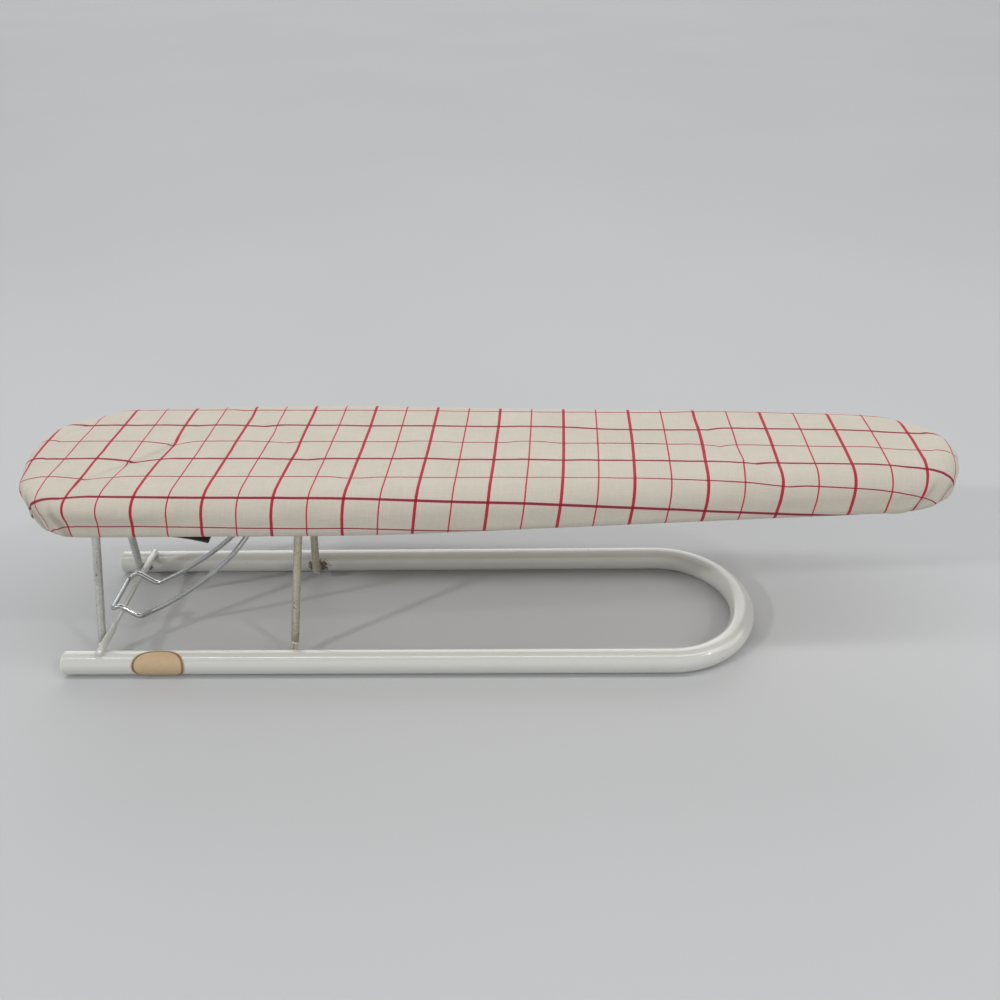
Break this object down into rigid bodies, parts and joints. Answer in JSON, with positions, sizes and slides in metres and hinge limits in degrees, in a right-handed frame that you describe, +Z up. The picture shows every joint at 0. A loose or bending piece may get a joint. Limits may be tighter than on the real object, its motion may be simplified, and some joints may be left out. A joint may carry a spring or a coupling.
{
  "type": "tabletop ironing board",
  "caption": "Narrow padded board with a checked cloth cover, carried over a bent tube base by folding wire bails, with a spring wire latch that hooks over a cross rod.",
  "frame": {"origin": "midway along the object's length and width, on the surface that the base tube stands on", "axes": "+X along the board towards its narrow nose, +Z up, -Y towards the front, the side with the paper label"},
  "size_m": [0.5436, 0.1185, 0.1307],
  "materials": {
    "white_enamel": "glossy white enamel with fine specks and a few scratches",
    "cap_plastic": "satin white plastic",
    "zinc_wire": "dull zinc plated wire",
    "aged_zinc": "yellowed zinc plated wire with rust specks",
    "bright_wire": "bright drawn spring wire",
    "steel_sheet": "zinc plated pressed sheet",
    "screw_steel": "zinc plated, slightly worn",
    "blued_steel": "blued tack steel",
    "beech": "bare planed beech",
    "grey_felt": "dense grey felt",
    "checked_cotton": "cream slubby cotton woven with thick and thin red lines both ways",
    "black_webbing": "black woven tape",
    "tan_paper": "matt tan paper, left blank"
  },
  "bodies": {
    "base": {"base_tube": "white_enamel", "front_end_cap": "cap_plastic", "rear_end_cap": "cap_plastic", "cross_rod": "white_enamel", "paper_label": "tan_paper"},
    "left_bail": {"left_bail": "zinc_wire"},
    "right_bail": {"right_bail": "aged_zinc"},
    "board": {"wooden_plank": "beech", "felt_pad": "grey_felt", "cloth_cover": "checked_cotton", "black_tape": "black_webbing", "tape_tack": "blued_steel", "cover_tack_1": "blued_steel", "cover_tack_2": "blued_steel", "cover_tack_3": "blued_steel", "cover_tack_4": "blued_steel", "cover_tack_5": "blued_steel", "cover_tack_6": "blued_steel", "cover_tack_7": "blued_steel", "cover_tack_8": "blued_steel", "cover_tack_9": "blued_steel", "cover_tack_10": "blued_steel", "cover_tack_11": "blued_steel", "cover_tack_12": "blued_steel", "cover_tack_13": "blued_steel", "cover_tack_14": "blued_steel", "cover_tack_15": "blued_steel", "cover_tack_16": "blued_steel", "cover_tack_17": "blued_steel", "cover_tack_18": "blued_steel", "cover_tack_19": "blued_steel", "cover_tack_20": "blued_steel", "left_front_clip": "steel_sheet", "left_rear_clip": "steel_sheet", "right_front_clip": "steel_sheet", "right_rear_clip": "steel_sheet", "clip_screw_1": "screw_steel", "clip_screw_2": "screw_steel", "clip_screw_3": "screw_steel", "clip_screw_4": "screw_steel", "clip_screw_5": "screw_steel", "clip_screw_6": "screw_steel", "clip_screw_7": "screw_steel", "clip_screw_8": "screw_steel", "latch_bracket": "steel_sheet", "bracket_screw_1": "screw_steel", "bracket_screw_2": "screw_steel"},
    "latch": {"latch_wire": "bright_wire"}
  },
  "joints": [
    {"name": "fold", "type": "hinge", "parent": "base", "child": "left_bail", "pos_m": [-0.24565, 0, 0.0083], "axis": [0, -1, 0], "range_deg": [0, 87]},
    {"name": "right_bail_hinge", "type": "hinge", "parent": "base", "child": "right_bail", "pos_m": [-0.12275, 0, 0.0083], "axis": [0, -1, 0], "range_deg": [0, 87]},
    {"name": "board_hinge", "type": "hinge", "parent": "left_bail", "child": "board", "pos_m": [-0.23325, 0, 0.1042], "axis": [0, 1, 0], "range_deg": [0, 87]},
    {"name": "latch_lift", "type": "hinge", "parent": "board", "child": "latch", "pos_m": [-0.12725, 0, 0.1025], "axis": [0, 1, 0], "range_deg": [0, 34.8]}
  ],
  "couplings": [
    {"joint": "right_bail_hinge", "follows": "fold", "ratio": 1},
    {"joint": "board_hinge", "follows": "fold", "ratio": 1},
    {"joint": "latch_lift", "follows": "fold", "ratio": 0.4}
  ]
}
